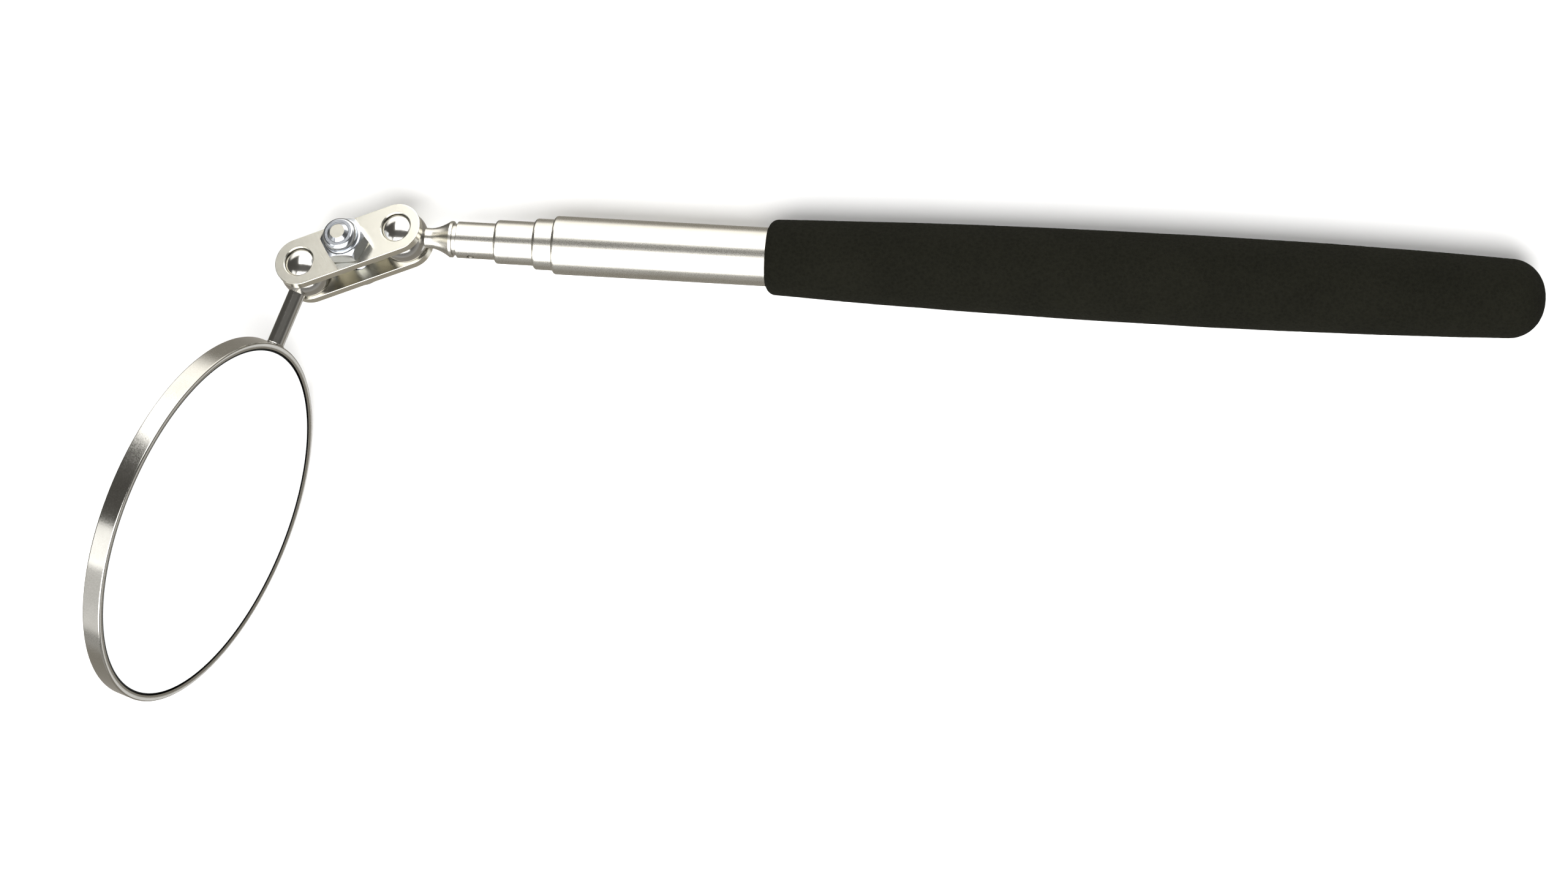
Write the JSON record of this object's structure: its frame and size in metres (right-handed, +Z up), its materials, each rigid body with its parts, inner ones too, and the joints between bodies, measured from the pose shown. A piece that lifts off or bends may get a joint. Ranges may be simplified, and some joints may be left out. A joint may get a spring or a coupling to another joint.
{
  "type": "telescopic inspection mirror",
  "caption": "Round hand mirror in a metal cup on a double ball joint, at the end of a telescopic rod with a foam grip, for looking into places that are hard to see.",
  "frame": {"origin": "bottom centre of the bounding box, on the table that the mirror lies on, with the rod pushed in and the joint bent as stored", "axes": "+X along the handle towards the grip's rear end, +Z up from the table, +Y completes the right-handed frame, and the mirror head lies towards -X and -Y"},
  "size_m": [0.1892, 0.0678, 0.0503],
  "materials": {
    "satin_nickel": "satin nickel plate",
    "polished_steel": "polished",
    "blasted_nickel": "fine blasted, warm nickel plate",
    "blue_zinc": "blue-white zinc plate",
    "turned_brass": "turned",
    "spring_bronze": "rolled strip",
    "nylon": "natural nylon",
    "black_foam": "fine closed-cell foam, very dark olive black",
    "silvered_glass": "silvered on the back, ground edge",
    "grey_board": "soft grey backing board"
  },
  "bodies": {
    "handle": {"grip_sleeve": "black_foam", "tube_8mm": "satin_nickel", "end_plug": "turned_brass"},
    "outer_section": {"tube_7mm": "satin_nickel", "stop_bush_7mm": "turned_brass", "friction_spring_7mm": "spring_bronze"},
    "middle_section": {"tube_6mm": "satin_nickel", "stop_bush_6mm": "turned_brass", "friction_spring_6mm": "spring_bronze"},
    "inner_slider": {"stop_bush_5mm": "turned_brass", "friction_spring_5mm": "spring_bronze"},
    "tip": {"tube_5mm": "satin_nickel", "ball_stud": "satin_nickel", "retaining_pin": "polished_steel"},
    "link": {"link_plate_front": "blasted_nickel", "link_plate_rear": "blasted_nickel", "clamp_screw": "blue_zinc", "lock_nut": "blue_zinc", "nylon_insert": "nylon"},
    "swivel_ball": {"mirror_ball": "polished_steel"},
    "mirror_head": {"mirror_stem": "polished_steel", "mirror_cup": "satin_nickel", "mirror_glass": "silvered_glass", "backing_pad": "grey_board"}
  },
  "joints": [
    {"name": "outer_slide", "type": "slide", "parent": "handle", "child": "outer_section", "axis": [-1, 0, 0], "range_m": [0, 0.108]},
    {"name": "middle_slide", "type": "slide", "parent": "outer_section", "child": "middle_section", "axis": [-1, 0, 0], "range_m": [0, 0.108]},
    {"name": "inner_slide", "type": "slide", "parent": "middle_section", "child": "inner_slider", "axis": [-1, 0, 0], "range_m": [0, 0.108]},
    {"name": "rod_turn", "type": "hinge", "parent": "inner_slider", "child": "tip", "pos_m": [-0.05996, 0.02779, 0.00614], "axis": [-1, 0, 0], "continuous": true},
    {"name": "handle_ball_fold", "type": "hinge", "parent": "tip", "child": "link", "pos_m": [-0.05996, 0.02779, 0.00614], "axis": [-0.1349, 0.6514, 0.7467], "range_deg": [-131, 89]},
    {"name": "mirror_ball_fold", "type": "hinge", "parent": "link", "child": "swivel_ball", "pos_m": [-0.07308, 0.02274, 0.00817], "axis": [0.1349, -0.6514, -0.7467], "range_deg": [-76, 174]},
    {"name": "mirror_turn", "type": "hinge", "parent": "swivel_ball", "child": "mirror_head", "pos_m": [-0.07308, 0.02274, 0.00817], "axis": [-0.3082, -0.834, 0.4577], "continuous": true}
  ]
}
